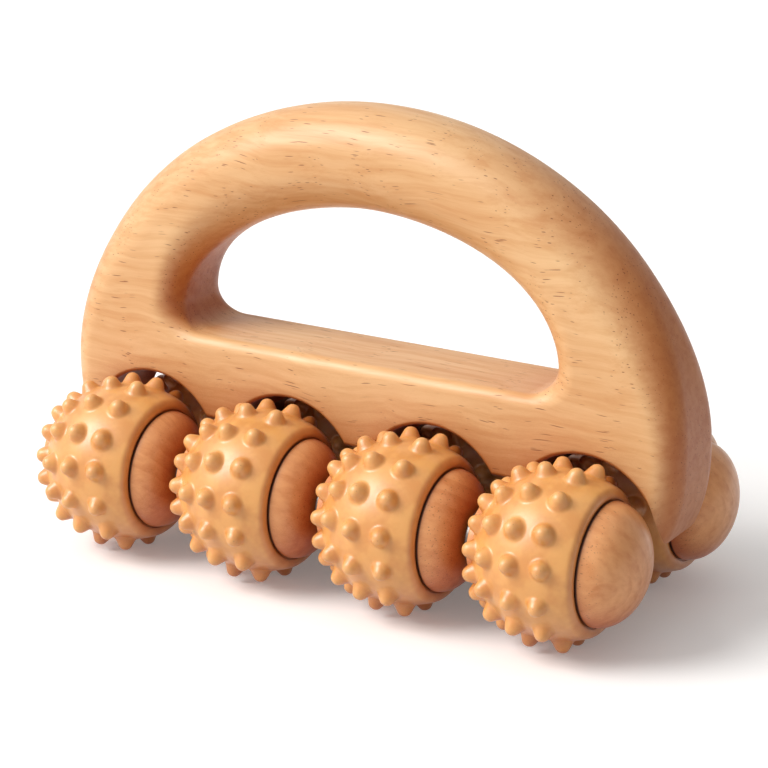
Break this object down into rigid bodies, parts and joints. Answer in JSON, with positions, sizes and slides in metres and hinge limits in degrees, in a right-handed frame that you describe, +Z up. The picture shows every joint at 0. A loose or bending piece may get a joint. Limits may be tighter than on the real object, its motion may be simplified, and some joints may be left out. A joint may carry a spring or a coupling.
{
  "type": "foot massage roller",
  "caption": "D-shaped wooden hand grip on two rows of free-turning spiked massage balls, for rolling over feet, legs or back.",
  "frame": {"origin": "on the floor, below the middle of the handle, midway between the two axles", "axes": "+X along the handle towards the domed faces of the balls, +Y across the board from the near row to the far row, +Z up"},
  "size_m": [0.1764, 0.0952, 0.1188],
  "materials": {
    "beech": "satin varnish over straight-grained beech",
    "ball_wood": "polished, slightly redder turned wood",
    "tan_rubber": "satin tan rubber",
    "steel": "plain drawn steel"
  },
  "bodies": {
    "handle_frame": {"handle": "beech", "hanger_left": "steel", "hanger_middle": "steel", "hanger_right": "steel", "hanger_pin_left_near": "steel", "hanger_pin_left_far": "steel", "hanger_pin_middle_near": "steel", "hanger_pin_middle_far": "steel", "hanger_pin_right_near": "steel", "hanger_pin_right_far": "steel", "axle_rod_near": "steel", "axle_rod_far": "steel", "axle_clip_near_left": "steel", "axle_clip_near_right": "steel", "axle_clip_far_left": "steel", "axle_clip_far_right": "steel"},
    "roller_near_1": {"core_near_1": "ball_wood", "sleeve_near_1": "tan_rubber", "dome_cap_near_1": "ball_wood", "end_plug_near": "ball_wood"},
    "roller_near_2": {"core_near_2": "ball_wood", "sleeve_near_2": "tan_rubber", "dome_cap_near_2": "ball_wood"},
    "roller_near_3": {"core_near_3": "ball_wood", "sleeve_near_3": "tan_rubber", "dome_cap_near_3": "ball_wood"},
    "roller_near_4": {"core_near_4": "ball_wood", "sleeve_near_4": "tan_rubber", "dome_cap_near_4": "ball_wood"},
    "roller_far_1": {"core_far_1": "ball_wood", "sleeve_far_1": "tan_rubber", "dome_cap_far_1": "ball_wood", "end_plug_far": "ball_wood"},
    "roller_far_2": {"core_far_2": "ball_wood", "sleeve_far_2": "tan_rubber", "dome_cap_far_2": "ball_wood"},
    "roller_far_3": {"core_far_3": "ball_wood", "sleeve_far_3": "tan_rubber", "dome_cap_far_3": "ball_wood"},
    "roller_far_4": {"core_far_4": "ball_wood", "sleeve_far_4": "tan_rubber", "dome_cap_far_4": "ball_wood"}
  },
  "joints": [
    {"name": "spin_near_1", "type": "hinge", "parent": "handle_frame", "child": "roller_near_1", "pos_m": [-0.0615, -0.0248, 0.023], "axis": [1, 0, 0], "continuous": true},
    {"name": "spin_near_2", "type": "hinge", "parent": "handle_frame", "child": "roller_near_2", "pos_m": [-0.0195, -0.0248, 0.023], "axis": [1, 0, 0], "continuous": true},
    {"name": "spin_near_3", "type": "hinge", "parent": "handle_frame", "child": "roller_near_3", "pos_m": [0.0225, -0.0248, 0.023], "axis": [1, 0, 0], "continuous": true},
    {"name": "spin_near_4", "type": "hinge", "parent": "handle_frame", "child": "roller_near_4", "pos_m": [0.0645, -0.0248, 0.023], "axis": [1, 0, 0], "continuous": true},
    {"name": "spin_far_1", "type": "hinge", "parent": "handle_frame", "child": "roller_far_1", "pos_m": [-0.0615, 0.0248, 0.023], "axis": [1, 0, 0], "continuous": true},
    {"name": "spin_far_2", "type": "hinge", "parent": "handle_frame", "child": "roller_far_2", "pos_m": [-0.0195, 0.0248, 0.023], "axis": [1, 0, 0], "continuous": true},
    {"name": "spin_far_3", "type": "hinge", "parent": "handle_frame", "child": "roller_far_3", "pos_m": [0.0225, 0.0248, 0.023], "axis": [1, 0, 0], "continuous": true},
    {"name": "spin_far_4", "type": "hinge", "parent": "handle_frame", "child": "roller_far_4", "pos_m": [0.0645, 0.0248, 0.023], "axis": [1, 0, 0], "continuous": true}
  ]
}
